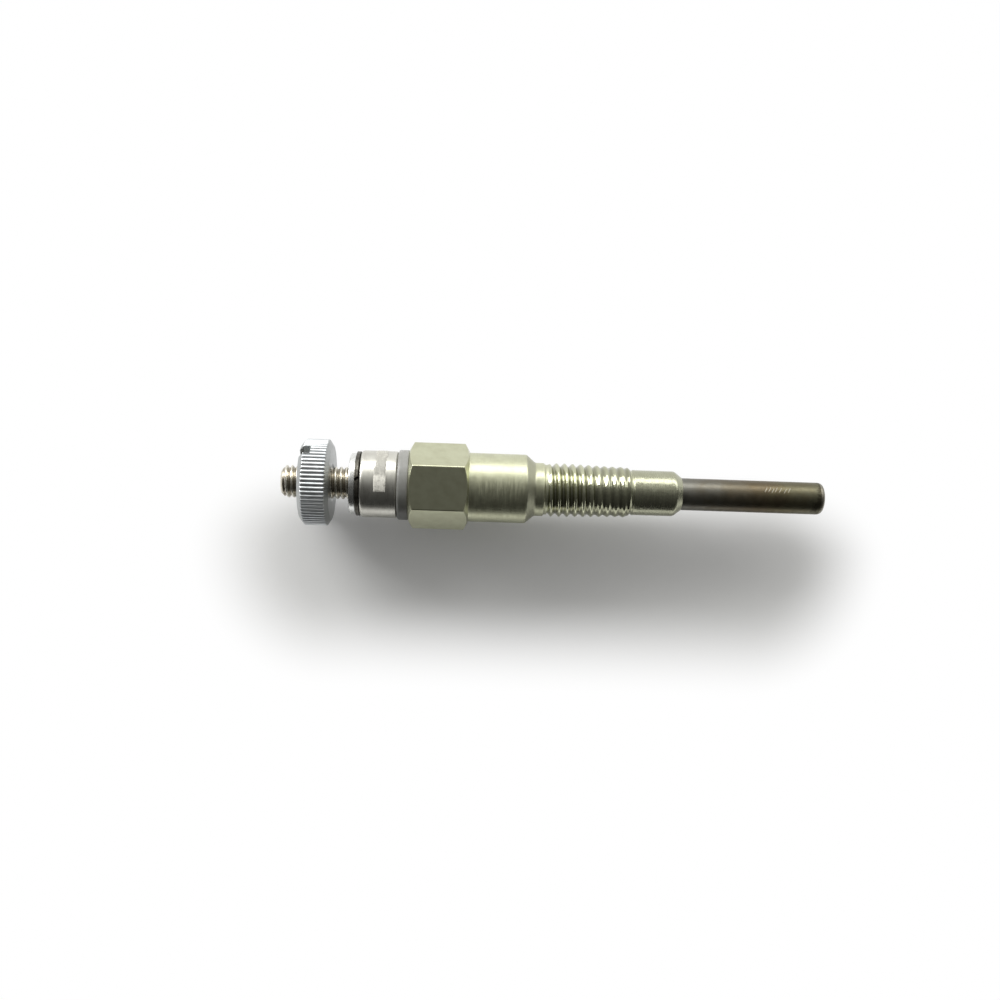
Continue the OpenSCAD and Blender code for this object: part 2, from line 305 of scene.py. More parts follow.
nutLook = {
    "finish": "whiteZinc", "tint": (0.71, 0.735, 0.745), "deepTint": (0.62, 0.645, 0.655),
    "roughness": (0.32, 0.42), "cloudSize": 1.6,
    "markSize": 0.12, "markSqueeze": 0.1, "markDepth": 0.001, "grainSize": 0.15, "grainDepth": 0.001,
    # painted shade in the roots of the knurl
    "rootShade": {"from": -45, "to": -40.2, "root": 7.76, "crest": 7.86,
            "share": 0.15, "tint": (0.17, 0.17, 0.16)},
    # painted shade: the nut's two end faces and chamfers are darkened
    "dullAndShade": [(-46.5, -44.7, 0.75), (-40.55, -39.5, 0.85)], "dullAndShadeTint": (0.36, 0.37, 0.36),
    "teeth": 64, "toothDepth": 0.23, "toothPower": 2.3, "stepsPerTooth": 12,
    "outerChamfer": 0.88, "innerChamfer": 0.7, "chamferRadial": 1.1, "rimSoft": 0.12, "faceSoft": 0.1,
    "bore": 3.05, "countersink": 0.5, "boreSoft": 0.1, "mouthSoft": 0.06, "seam": 0.2, "crease": 38,
    "slotWidth": 1.9, "slotDepth": 2.1, "slotTurn": 51, "slotBevel": 0.1, "slotClear": 1,
}


def toothAngles(look):
    steps = look["stepsPerTooth"]
    acrossTooth = np.arange(-steps // 2, steps // 2) / steps
    turns = (np.arange(look["teeth"])[:, None] + acrossTooth).ravel() / look["teeth"]
    return math.radians(look["slotTurn"]) + turns * 2 * math.pi


def toothRadius(look, crestRadius, angles):
    # rounded teeth with sharp roots
    share = (angles - math.radians(look["slotTurn"])) / (2 * math.pi) * look["teeth"]
    away = np.abs(share - np.round(share)) * 2
    return crestRadius - look["toothDepth"] * away ** look["toothPower"]


def slotCutter(look, face, reach):
    half, bevel, clear = look["slotWidth"] / 2, look["slotBevel"], look["slotClear"]
    section = [(face + look["slotDepth"], half), (face + bevel, half), (face - clear, half + clear + bevel)]
    section += [(x, -w) for x, w in reversed(section)]
    turn = math.radians(look["slotTurn"])
    along = Vector((0, math.sin(turn), math.cos(turn)))
    across = Vector((0, math.cos(turn), -math.sin(turn)))
    points = [(Vector((x, 0, 0)) + across * w + along * end) * mm
              for end in (-reach, reach) for x, w in section]
    sides = len(section)
    faces = [[i, (i + 1) % sides, sides + (i + 1) % sides, sides + i] for i in range(sides)]
    faces += [list(reversed(range(sides))), list(range(sides, 2 * sides))]
    return meshObject("slotCutter", points, faces)


def cutAway(piece, cutter):
    cut = piece.modifiers.new("cut", "BOOLEAN")
    cut.operation = "DIFFERENCE"
    cut.solver = "EXACT"
    cut.object = cutter
    ready = piece.evaluated_get(bpy.context.evaluated_depsgraph_get())
    mesh = bpy.data.meshes.new_from_object(ready)
    piece.modifiers.clear()
    piece.data = mesh
    bpy.data.objects.remove(cutter)


def makeTerminalNut(look):
    outer, inner = spanOf("terminal_nut")
    crestRadius = radiusOf("terminal_nut")
    angles = toothAngles(look)
    rim = toothRadius(look, crestRadius, angles)
    faceRadius = crestRadius - look["chamferRadial"]
    share = (rim - faceRadius) / look["chamferRadial"]
    bore, mouth = look["bore"], look["bore"] + look["countersink"]
    middle = (outer + inner) / 2
    corners = [
        (middle - look["seam"], bore, 0),
        (outer + look["countersink"], bore, look["boreSoft"]),
        (outer, mouth, look["mouthSoft"]),
        (outer, faceRadius, look["faceSoft"]),
        (outer + share * look["outerChamfer"], rim, look["rimSoft"]),
        (inner - share * look["innerChamfer"], rim, look["rimSoft"]),
        (inner, faceRadius, look["faceSoft"]),
        (inner, mouth, look["mouthSoft"]),
        (inner - look["countersink"], bore, look["boreSoft"]),
        (middle + look["seam"], bore, 0),
    ]
    nut = turnedPiece("knurledNut", softOutline(corners, angles, steps=3), angles)
    cutAway(nut, slotCutter(look, outer, crestRadius + look["slotClear"]))
    nut.data.set_sharp_from_angle(angle=math.radians(look["crease"]))
    return nut


print("terminal end")
settle(makeTerminalNut(nutLook), platedMetal(nutLook), "terminal_nut", "white_zinc", "terminal_nut")


# Plain washer: stamped, one edge rolled and the other crisp

washerLook = {
    "finish": "washerZinc", "tint": (0.84, 0.85, 0.83), "deepTint": (0.7, 0.7, 0.67),
    "roughness": (0.2, 0.34), "cloudSize": 1.2,
    "markSize": 0.2, "markSqueeze": 0.5, "markDepth": 0.003, "grainSize": 0.25, "grainDepth": 0.003,
    "bore": 3.15, "rolledEdge": 0.28, "crispEdge": 0.08, "seam": 0.1, "around": 160,
}


def makePlainWasher(look):
    outer, inner = spanOf("plain_washer")
    radius = radiusOf("plain_washer")
    angles = evenAngles(look["around"])
    middle = (outer + inner) / 2
    corners = [
        (middle - look["seam"], look["bore"], 0),
        (outer, look["bore"], look["crispEdge"]),
        (outer, radius, look["rolledEdge"]),
        (inner, radius, look["crispEdge"]),
        (inner, look["bore"], look["rolledEdge"]),
        (middle + look["seam"], look["bore"], 0),
    ]
    return turnedPiece("plainWasher", softOutline(corners, angles), angles)


settle(makePlainWasher(washerLook), platedMetal(washerLook), "plug", "white_zinc", "plain_washer")


# Spring washer: dark, split on a slant, its ends a little out of line

springLook = {
    "finish": "blackSteel", "tint": (0.15, 0.143, 0.122), "deepTint": (0.06, 0.057, 0.047),
    "roughness": (0.3, 0.5), "cloudSize": 0.8,
    "markSize": 0.15, "markSqueeze": 0.3, "markDepth": 0.006, "grainSize": 0.15, "grainDepth": 0.006,
    "bore": 3.15, "edge": 0.13, "splitTurn": 12, "splitWidth": 0.5, "slant": 35, "spring": 0.05,
    "hollow": 0.05, "hollowSoft": 0.08, "seam": 0.05, "crease": 50, "steps": 150,
}


def makeSpringWasher(look):
    outer, inner = spanOf("spring_washer")
    radius, bore, spring = radiusOf("spring_washer"), look["bore"], look["spring"]
    low, high = outer + spring, inner - spring
    middle = (low + high) / 2
    corners = [
        (middle - look["seam"], bore, 0),
        (low, bore, look["edge"]),
        (low, radius, look["edge"]),
        (middle, radius - look["hollow"], look["hollowSoft"]),
        (high, radius, look["edge"]),
        (high, bore, look["edge"]),
        (middle + look["seam"], bore, 0),
    ]
    section = np.array(softOutline(corners, np.zeros(1)))[:, 0]
    halfGap = look["splitWidth"] / 2 / radius
    sweep = np.linspace(halfGap, 2 * math.pi - halfGap, look["steps"])
    slant = math.tan(math.radians(look["slant"]))
    points = []
    for turn in sweep:
        offset = spring * (turn / math.pi - 1)
        for x, r in section:
            angle = math.radians(look["splitTurn"]) + turn + slant * (x - middle) / r
            points.append([x + offset, r * math.sin(angle), r * math.cos(angle)])
    index = np.arange(len(points)).reshape(len(sweep), len(section))
    after = np.roll(index, -1, axis=1)
    faces = np.stack([index[:-1], after[:-1], after[1:], index[1:]], axis=-1)
    faces = faces.reshape(-1, 4).tolist()
    faces += [list(reversed(index[0].tolist())), index[-1].tolist()]
    washer = meshObject("springWasher", (np.array(points) * mm).tolist(), faces)
    washer.data.set_sharp_from_angle(angle=math.radians(look["crease"]))
    return washer


settle(makeSpringWasher(springLook), platedMetal(springLook), "plug", "black_steel", "spring_washer")


# Round nut: bright turned sleeve with a dab of pale marking paint

roundNutLook = {
    "finish": "brightNickel", "tint": (0.66, 0.65, 0.59), "deepTint": (0.58, 0.565, 0.51),
    "roughness": (0.27, 0.39), "cloudSize": 2.2,
    "markSize": 0.1, "markSqueeze": 0.04, "markDepth": 0.002, "grainSize": 0.2, "grainDepth": 0.001,
    "bore": 3.02, "outerRound": 0.75, "innerChamfer": 0.3,
    "boreSoft": 0.1, "rimSoft": 0.08, "faceSoft": 0.06, "seam": 0.2, "around": 200,
}


def makeRoundNut(look):
    outer, inner = spanOf("round_nut")
    radius = radiusOf("round_nut")
    angles = evenAngles(look["around"])
    middle = (outer + inner) / 2
    chamfer = look["innerChamfer"]
    corners = [
        (middle - look["seam"], look["bore"], 0),
        (outer, look["bore"], look["boreSoft"]),
        (outer, radius, look["outerRound"]),
        (inner - chamfer, radius, look["rimSoft"]),
        (inner, radius - chamfer, look["faceSoft"]),
        (inner, look["bore"], look["boreSoft"]),
        (middle + look["seam"], look["bore"], 0),
    ]
    return turnedPiece("roundNut", softOutline(corners, angles, steps=6), angles)


settle(makeRoundNut(roundNutLook), platedMetal(roundNutLook), "plug", "bright_nickel", "round_nut")

paintLook = {
    "finish": "markingPaint", "pale": (0.8, 0.78, 0.7), "thin": (0.36, 0.35, 0.31),
    "roughness": (0.3, 0.55), "cloudSize": 0.5, "grainSize": 0.3, "grainDepth": 0.03,
    "fadeHeights": (1.7, 2.4), "fadeBy": 0.2,
    "station": -30.72, "width": 2.16, "fromAngle": -10, "toAngle": 128,
    "stepAngle": 18.5, "stepBlend": 1.2, "leftStep": 0.2, "rightStep": 0.05,
    "ragged": 0.17, "calm": 0.4, "leftSeed": 1.3, "rightSeed": 4.1,
    "thickness": 0.06, "sunk": 0.03, "edgeRise": 9, "endRise": 0.4, "across": 26, "around": 150,
}


def raggedEdge(angles, seed):
    waves = ((3.1, 0.5), (7.3, 0.3), (17.9, 0.2))  # rate round the axis, size
    return sum(size * np.sin(rate * angles * 2 + seed * (i + 1.7)) for i, (rate, size) in enumerate(waves))


def makePaintMark(look):
    # two strokes of paint, the upper one a little narrower than the lower one
    radius = radiusOf("round_nut")
    angles = np.radians(np.linspace(look["fromAngle"], look["toAngle"], look["around"]))
    upper = 1 / (1 + np.exp(-(np.degrees(angles) - look["stepAngle"]) / look["stepBlend"]))
    ragged, calm = look["ragged"], look["calm"]
    left = look["station"] - look["width"] / 2 + look["leftStep"] * upper
    left = left + ragged * raggedEdge(angles, look["leftSeed"]) * (calm + upper)
    right = look["station"] + look["width"] / 2 + look["rightStep"] * upper
    right = right + ragged * raggedEdge(angles, look["rightSeed"]) * (calm + upper)
    share = np.linspace(0, 1, look["across"])
    station = left[:, None] + (right - left)[:, None] * share
    edge = np.minimum(1, look["edgeRise"] * np.minimum(share, 1 - share))[None, :]
    rows = np.arange(len(angles))
    end = np.minimum(1, look["endRise"] * np.minimum(rows, rows[::-1]))[:, None]
    # brush wrinkles that cross each other
    turn = angles[:, None]
    wrinkle = 0.5 + 0.5 * np.sin(9 * station + 26 * turn) * np.sin(23 * turn - 5 * station)
    lift = look["thickness"] * edge * end * (0.55 + 0.45 * wrinkle)
    skins = []
    for height in (lift, -look["sunk"] + 0 * lift):
        r = radius + height
        skins.append(np.stack([station, r * np.sin(turn), r * np.cos(turn)], axis=-1))
    points = np.concatenate([skin.reshape(-1, 3) for skin in skins])
    index = np.arange(station.size).reshape(station.shape)
    top = np.stack([index[:-1, :-1], index[:-1, 1:], index[1:, 1:], index[1:, :-1]], axis=-1).reshape(-1, 4)
    faces = top.tolist() + (top[:, ::-1] + station.size).tolist()
    border = index[0].tolist() + index[1:, -1].tolist()
    border += index[-1, -2::-1].tolist() + index[-2:0:-1, 0].tolist()
    below = [i + station.size for i in border]
    count = len(border)
    faces += [[border[i], below[i], below[(i + 1) % count], border[(i + 1) % count]] for i in range(count)]
    return meshObject("paintMark", (points * mm).tolist(), faces)


def markingPaint(look):
    material, tree, shader = newMaterial(look["finish"], Metallic=0.0)
    cloud = speckle(tree, look["cloudSize"], detail=5.0, roughness=0.65)
    low, high = look["fadeHeights"]  # between these the paint goes thin
    fade = remap(tree, surfacePlace(tree)["Y"], low * mm, high * mm, look["fadeBy"], -look["fadeBy"])
    colour = ramp(tree, combine(tree, "ADD", cloud, fade), [(0.35, look["thin"]), (0.75, look["pale"])])
    tree.links.new(colour, shader.inputs["Base Color"])
    tree.links.new(remap(tree, cloud, lowNoise, highNoise, *look["roughness"]), shader.inputs["Roughness"])
    grain = speckle(tree, look["grainSize"], detail=4.0)
    tree.links.new(bump(tree, grain, look["grainDepth"]), shader.inputs["Normal"])
    return material


settle(makePaintMark(paintLook), markingPaint(paintLook), "plug", "bright_nickel")


# Insulating washer: satin moulded ring between the round nut and the hexagon

insulatorLook = {
    "finish": "greyInsulator", "pale": (0.25, 0.25, 0.235), "dark": (0.21, 0.208, 0.193),
    "roughness": (0.32, 0.46), "cloudSize": 0.9, "grainSize": 0.12, "grainDepth": 0.006,
    "bore": 3.05, "spigot": 4.75, "flange": 2.05, "outerRim": 0.45, "innerRim": 0.27,
    "boreSoft": 0.15, "seatSoft": 0.1, "spigotSoft": 0.2, "seam": (1, 1.4), "around": 180,
}


def makeInsulator(look):
    outer, inner = spanOf("insulating_washer")
    radius = radiusOf("insulating_washer")
    angles = evenAngles(look["around"])
    seat = outer + look["flange"]
    corners = [
        (outer + look["seam"][0], look["bore"], 0),
        (outer, look["bore"], look["boreSoft"]),
        (outer, radius, look["outerRim"]),
        (seat, radius, look["innerRim"]),
        (seat, look["spigot"], look["seatSoft"]),
        (inner, look["spigot"], look["spigotSoft"]),
        (inner, look["bore"], look["boreSoft"]),
        (outer + look["seam"][1], look["bore"], 0),
    ]
    return turnedPiece("insulatingWasher", softOutline(corners, angles), angles)


def mouldedInsulator(look):
    material, tree, shader = newMaterial(look["finish"], Metallic=0.0, Specular_IOR_Level=0.6)
    cloud = speckle(tree, look["cloudSize"], detail=5.0)
    colour = ramp(tree, cloud, [(lowNoise, look["dark"]), (highNoise, look["pale"])])
    tree.links.new(colour, shader.inputs["Base Color"])
    fine = speckle(tree, look["grainSize"], detail=2.0, squeeze=0.3)
    tree.links.new(remap(tree, fine, lowNoise, highNoise, *look["roughness"]), shader.inputs["Roughness"])
    tree.links.new(bump(tree, fine, look["grainDepth"]), shader.inputs["Normal"])
    return material


settle(makeInsulator(insulatorLook), mouldedInsulator(insulatorLook), "plug", "grey_insulator",
       "insulating_washer")


# Centre electrode: threaded stud, then the plain rod inside the housing

studLook = {
    "finish": "bronzedSteel", "tint": (0.8, 0.77, 0.68), "deepTint": (0.62, 0.58, 0.49),
    "roughness": (0.22, 0.34), "cloudSize": 0.7,
    "markSize": 0.15, "markSqueeze": 0.1, "markDepth": 0.002, "grainSize": 0.12, "grainDepth": 0.002,
    # painted shade in the roots of the stud's thread
    "rootShade": {"from": -49.0, "to": -35.0, "root": 2.6, "crest": 2.96,
            "share": 0.65, "tint": (0.2, 0.165, 0.11)},
    "radius": 3.0, "pitch": 1.0, "depth": 0.45, "crest": 0.2, "threadEnd": -35.2, "runOut": 0.5,
    "endChamfer": 0.8, "endSoft": 0.12, "endDimple": 0.4, "firstRing": 0.14, "lastRing": 0.05,
    "shoulder": -21.87, "shoulderCone": 0.8, "rod": 2.2, "tailStart": 5.5, "tailCone": 0.6,
    "tail": 1.6, "tailEnd": 31.2, "spigot": 1.4, "spigotEnd": 0.3, "soft": 0.1, "stepSoft": 0.05,
    "around": 112, "ringsPerPitch": 16,
}


def makeElectrode(look):
    tip, end = spanOf("centre_electrode")
    radius, soft = look["radius"], look["soft"]
    angles = evenAngles(look["around"])
    flat = np.zeros(len(angles))
    face, edge = radius - look["endChamfer"], look["endSoft"]
    rings = softOutline([(tip, look["endDimple"], 0), (tip, face, edge),
                         (tip + edge, face + edge, 0)], angles)
    count = int((look["threadEnd"] - tip) / look["pitch"] * look["ringsPerPitch"])
    for station in np.linspace(tip + look["firstRing"], look["threadEnd"], count):
        cone = face + (station - tip)
        runOut = np.clip((look["threadEnd"] - station) / look["runOut"], 0, 1)
        phase = screwPhase(station, angles, look["pitch"])
        thread = radius - look["depth"] * threadDepth(phase, look["crest"]) * runOut
        rings.append(np.stack([flat + station, np.minimum(thread, cone)], axis=-1))
    rings += softOutline([
        (look["threadEnd"] + look["lastRing"], radius, 0),
        (look["shoulder"], radius, soft),
        (look["shoulder"] + look["shoulderCone"], look["rod"], soft),
        (look["tailStart"] - look["tailCone"], look["rod"], soft),
        (look["tailStart"], look["tail"], soft),
        (look["tailEnd"], look["tail"], look["stepSoft"]),
        (look["tailEnd"], look["spigot"], look["stepSoft"]),
        (end, look["spigot"], soft),
        (end, look["spigotEnd"], 0),
    ], angles)
    return turnedPiece("centreElectrode", rings, angles, capped=True)


settle(makeElectrode(studLook), platedMetal(studLook), "plug", "bronzed_steel", "centre_electrode")


# Housing: hexagon, round body, sealing cone, neck, engine thread and pilot

housingLook = {
    "finish": "yellowZinc", "tint": (0.595, 0.605, 0.435), "deepTint": (0.53, 0.535, 0.375),
    "roughness": (0.28, 0.48), "cloudSize": 1.8, "turnedFrom": -14.57,
    "markSize": 0.16, "markSqueeze": 0.06, "markDepth": 0.003, "grainSize": 0.22, "grainDepth": 0.0025,
    "dullAndShade": [(-3.97, -2.3, 0.6), (15.6, 26, 0.55)], "dullAndShadeTint": (0.3, 0.3, 0.23),
    "burnished": [(0.1, 15.5, 0.42), (15.5, 26, 0.7)], "rippleSize": 0.9, "rippleDepth": 0.05,
    # painted shade in the roots of the engine thread
    "rootShade": {"from": 0.3, "to": 15.6, "root": 4.45, "crest": 4.85,
            "share": 0.6, "tint": (0.14, 0.138, 0.095)},
    "hexLength": 11.0, "faceRadius": 6.65, "chamferAngle": 30, "cornerRound": 0.36,
    "faceSoft": 0.06, "chamferSoft": 0.07,
    "body": 6.4, "bodyLength": 10.6, "bodySoft": 0.2, "coneSoft": 0.25,
    "neck": 4.95, "neckLength": 2.3, "neckSoft": 0.35, "groove": 0.7, "grooveDepth": 0.3, "grooveSoft": 0.1,
    "thread": 5.0, "threadTaper": 0.3, "taperFrom": 3.5, "taperLength": 9, "threadLength": 15.6,
    "pitch": 1.5, "root": 4.42, "crest": 0.1, "threadStart": 0.56, "leadIn": 0.7, "runOut": 0.75,
    "runOutStep": 0.1, "firstRing": 0.04, "ringsPerPitch": 18,
    # past the thread's end, out from the pilot's radius, softness
    "undercut": [(0.05, -0.12, 0), (0.25, -0.12, 0.06), (0.4, 0.04, 0.06), (0.7, 0, 0.1)],
    "pilot": 4.2, "pilotChamfer": 1.4, "pilotSoft": 0.3, "pilotLand": 3.15, "landSoft": 0.08,
    "bore": 3.02, "boreSoft": 0.05, "counterbore": 4.8, "counterboreDepth": 4.3,
    "counterboreSoft": 0.1, "mouthSoft": 0.15, "seam": (0.5, 0.6),
}


def hexAngles():
    # close together at the corners, wider apart on the flats
    fromCorner = np.array([0, 0.3, 0.6, 0.9, 1.2, 1.5, 2.2, 3.5, 5.5, 7.5,
                           10, 12.5, 15, 17.5, 20, 22.5, 25, 27.5])
    sector = np.concatenate([fromCorner, [30], 60 - fromCorner[:0:-1]])
    return np.radians((np.arange(6)[:, None] * 60 + 30 + sector).ravel())


def hexRadius(look, flat, angles):
    turn = np.abs((np.degrees(angles) + 30) % 60 - 30)
    soft = look["cornerRound"]
    centre = (flat - soft) / math.cos(math.radians(30))
    fromCorner = np.radians(30 - turn)
    across = np.maximum(soft ** 2 - (centre * np.sin(fromCorner)) ** 2, 0)
    rounded = centre * np.cos(fromCorner) + np.sqrt(across)
    tangent = math.degrees(math.atan((1 - soft / flat) * math.tan(math.radians(30))))
    return np.where(turn > tangent, rounded, flat / np.cos(np.radians(turn)))


def makeHousing(look):
    start, end = spanOf("housing")
    low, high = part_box("housing")
    angles = hexAngles()
    hexagon = hexRadius(look, (high.z - low.z) / 2 / mm, angles)
    chamfer = (hexagon - look["faceRadius"]) * math.tan(math.radians(look["chamferAngle"]))
    bodyStart = start + look["hexLength"]
    seat = bodyStart + look["bodyLength"]
    neckStart, threadEnd = -look["neckLength"], look["threadLength"]
    neck, groove, pilot = look["neck"], look["grooveDepth"], look["pilot"]
    rings = softOutline([
        (start + look["counterboreDepth"] * look["seam"][0], look["counterbore"], 0),
        (start, look["counterbore"], look["mouthSoft"]),
        (start, look["faceRadius"], look["faceSoft"]),
        (start + chamfer, hexagon, look["chamferSoft"]),
        (bodyStart - chamfer, hexagon, look["chamferSoft"]),
        (bodyStart, look["faceRadius"], look["faceSoft"]),
        (bodyStart, look["body"], look["bodySoft"]),
        (seat, look["body"], look["coneSoft"]),
        (neckStart, neck, look["neckSoft"]),
        (-look["groove"], neck, look["grooveSoft"]),
        (groove - look["groove"], neck - groove, look["grooveSoft"]),
        (0, neck - groove, 0),
    ], angles)
    flat = np.zeros(len(angles))
    count = int(threadEnd / look["pitch"] * look["ringsPerPitch"])
    for station in np.linspace(look["firstRing"], threadEnd, count):
        tapered = np.clip((station - look["taperFrom"]) / look["taperLength"], 0, 1)
        crest = look["thread"] - look["threadTaper"] * tapered
        leadIn = np.clip(station / look["leadIn"], 0, 1)
        runOut = np.clip((threadEnd - station) / look["runOut"], 0, 1)
        phase = screwPhase(station - look["threadStart"], angles, look["pitch"])
        form = crest - (crest - look["root"]) * threadDepth(phase, look["crest"])
        entry = neck - groove + (crest - neck + groove) * leadIn
        leave = pilot - look["runOutStep"] + (crest - pilot + look["runOutStep"]) * runOut
        rings.append(np.stack([flat + station, np.minimum(np.minimum(form, leave), entry)], axis=-1))
    undercut = [(threadEnd + past, pilot + rise, soft) for past, rise, soft in look["undercut"]]
    rings += softOutline(undercut + [
        (end - look["pilotChamfer"], pilot, look["pilotSoft"]),
        (end, look["pilotLand"], look["landSoft"]),
        (end, look["bore"], look["boreSoft"]),
        (start + look["counterboreDepth"], look["bore"], look["counterboreSoft"]),
        (start + look["counterboreDepth"], look["counterbore"], look["counterboreSoft"]),
        (start + look["counterboreDepth"] * look["seam"][1], look["counterbore"], 0),
    ], angles)
    return turnedPiece("housingBody", rings, angles)


print("housing")
settle(makeHousing(housingLook), platedMetal(housingLook), "plug", "yellow_zinc", "housing")


# Heater sheath: closed tube, heat-tinted, with a row of small slanted nicks

sheathLook = {
    "finish": "heatTintedAlloy", "roughness": (0.32, 0.48),
    "cloudSize": 2.5, "wander": 0.14, "smudgeSize": 0.9, "drawnSize": 0.2, "drawnDepth": 0.004,
    "grainSize": 0.25, "grainDepth": 0.007, "bareFrom": 0.008, "bareAt": 0.025,
    "wall": 0.6, "tipRound": 1.8, "cap": 0.2, "boreSoft": 0.1, "mouthSoft": 0.15, "mouthLand": 1,
    "nearAround": 80, "farAround": 112,
    "tints": [(0.0, (0.185, 0.18, 0.157)), (0.3, (0.15, 0.134, 0.1)), (0.55, (0.135, 0.108, 0.068)),
              (0.72, (0.14, 0.122, 0.072)), (0.93, (0.15, 0.143, 0.095)), (1.0, (0.075, 0.068, 0.045))],
    "nickStations": (40.6, 41.3, 41.9, 42.5, 43.3, 44.2, 45.0), "nickAngle": 30, "nickLength": 1.15,
    "nickSlant": 60, "nickWidth": 0.08, "nickDepth": 0.04, "bareTint": (0.25, 0.235, 0.19),
    "nickSway": 2, "nickMargin": 1.2, "nickStep": 0.04, "afterNicks": 0.3,
}


def nicks(look, radius, station, angles):
    # shallow slanted scores, all leaning the same way
    height = np.zeros(len(angles))
    slant = math.radians(look["nickSlant"])
    for i, place in enumerate(look["nickStations"]):
        dx = station - place
        dy = (angles - math.radians(look["nickAngle"] + look["nickSway"] * math.sin(2.3 * i))) * radius
        along = dx * math.cos(slant) + dy * math.sin(slant)
        across = -dx * math.sin(slant) + dy * math.cos(slant)
        fade = np.exp(-(along / (look["nickLength"] / 2)) ** 4)
        height -= fade * look["nickDepth"] * np.exp(-(across / look["nickWidth"]) ** 2)
    return height


def makeSheath(look):
    mouth, tip = spanOf("heater_sheath")
    radius, wall, tipRound = radiusOf("heater_sheath"), look["wall"], look["tipRound"]
    nearNicks = np.radians(np.linspace(0, 60, look["nearAround"]))
    elsewhere = np.radians(np.linspace(60, 360, look["farAround"])[1:-1])
    angles = np.concatenate([nearNicks, elsewhere])
    flat = np.zeros(len(angles))
    rings = softOutline([
        (tip - wall, look["cap"], 0),
        (tip - wall, radius - wall, tipRound - wall),
        (mouth, radius - wall, look["boreSoft"]),
        (mouth, radius, look["mouthSoft"]),
        (mouth + look["mouthLand"], radius, 0),
    ], angles)
    margin = look["nickMargin"]
    first, last = look["nickStations"][0] - margin, look["nickStations"][-1] + margin
    for station in np.linspace(first, last, int((last - first) / look["nickStep"])):
        rings.append(np.stack([flat + station, radius + nicks(look, radius, station, angles)], axis=-1))
    rings += softOutline([
        (last + look["afterNicks"], radius, 0),
        (tip, radius, tipRound),
        (tip, look["cap"], 0),
    ], angles, steps=12)
    return turnedPiece("heaterSheath", rings, angles, capped=True)


def heatTintedAlloy(look):
    material, tree, shader = newMaterial(look["finish"], Metallic=1.0)
    mouth, tip = spanOf("housing")[1], spanOf("heater_sheath")[1]
    share = remap(tree, surfacePlace(tree)["X"], mouth * mm, tip * mm, 0, 1)
    cloud = speckle(tree, look["cloudSize"], detail=5.0, roughness=0.6)
    drift = remap(tree, cloud, lowNoise, highNoise, -look["wander"], look["wander"])
    wander = combine(tree, "ADD", share, drift)
    # the nicks go through the tint to bare metal
    fromSkin = combine(tree, "SUBTRACT", outFromAxis(tree), radiusOf("heater_sheath") * mm)
    nicked = combine(tree, "ABSOLUTE", fromSkin, 0.0)
    bare = remap(tree, nicked, look["bareFrom"] * mm, look["bareAt"] * mm, 0, 1)
    tinted = addNode(tree, "MixRGB", {"Fac": bare, "Color1": ramp(tree, wander, look["tints"]),
                                      "Color2": (*look["bareTint"], 1)})
    tree.links.new(tinted.outputs["Color"], shader.inputs["Base Color"])
    smudge = speckle(tree, look["smudgeSize"], detail=4.0, squeeze=0.5, offset=3.0)
    tree.links.new(remap(tree, smudge, lowNoise, highNoise, *look["roughness"]), shader.inputs["Roughness"])
    drawn = bump(tree, speckle(tree, look["drawnSize"], detail=2.0, squeeze=0.15), look["drawnDepth"])
    grain = speckle(tree, look["grainSize"], detail=3.0)
    tree.links.new(bump(tree, grain, look["grainDepth"], drawn), shader.inputs["Normal"])
    return material


print("heater")
settle(makeSheath(sheathLook), heatTintedAlloy(sheathLook), "plug", "heat_tinted_alloy", "heater_sheath")


# Pieces inside, which keep their CAD shapes

innerLook = {
    "sealing_ring": {"dark": (0.012, 0.012, 0.012), "pale": (0.03, 0.03, 0.03),
        "roughness": 0.6, "metal": 0.0},
    "sheath_packing": {"dark": (0.26, 0.045, 0.025), "pale": (0.38, 0.08, 0.05),
        "roughness": 0.6, "metal": 0.0},
    "heating_coil": {"dark": (0.4, 0.38, 0.34), "pale": (0.58, 0.56, 0.52),
        "roughness": 0.35, "metal": 1.0},
    "magnesia_fill": {"dark": (0.74, 0.73, 0.68), "pale": (0.86, 0.85, 0.81),
        "roughness": 0.9, "metal": 0.0},
}
innerGrain = {"cloudSize": 0.4, "grainSize": 0.15, "grainDepth": 0.01}


def innerFinish(name, look):
    material, tree, shader = newMaterial(name + "Finish", Metallic=look["metal"],
                                         Roughness=look["roughness"])
    cloud = speckle(tree, innerGrain["cloudSize"], detail=4.0)
    colour = ramp(tree, cloud, [(lowNoise, look["dark"]), (highNoise, look["pale"])])
    tree.links.new(colour, shader.inputs["Base Color"])
    grain = speckle(tree, innerGrain["grainSize"])
    tree.links.new(bump(tree, grain, innerGrain["grainDepth"]), shader.inputs["Normal"])
    return material


for name, look in innerLook.items():
    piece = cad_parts[name]
    piece.data.materials.clear()
    piece.data.materials.append(innerFinish(name, look))
    print("  finished", name)


# Floor, lamps and camera

stageLook = {
    "floorDrop": 0.03, "floorSize": 4.0, "floorTone": (0.96, 0.96, 0.945),
    "mottle": 0.985, "mottleSize": 3.0,
    "halfLength": 41, "whiteFrom": 8, "whiteAt": 28, "shadowShift": 13, "shadowLift": 0.1,
    "windowSide": 1.6, "dimFrom": -105, "dimAt": -260,
}


def makeFloor(look):
    half, height = look["floorSize"] / 2, cadBox[0].z - look["floorDrop"] * mm
    points = [(-half, -half, height), (half, -half, height), (half, half, height), (-half, half, height)]
    floor = meshObject("paleFloor", points, [[0, 1, 2, 3]])
    material, tree, shader = newMaterial("palePaper", Roughness=0.85, Specular_IOR_Level=0.2)
    tone = look["floorTone"]
    dimmer = [look["mottle"] * c for c in tone]
    cloud = speckle(tree, look["mottleSize"], detail=4.0)
    tree.links.new(ramp(tree, cloud, [(lowNoise, dimmer), (highNoise, tone)]), shader.inputs["Base Color"])
    fadeToWhite(look, tree, shader)
    floor.data.materials.append(material)


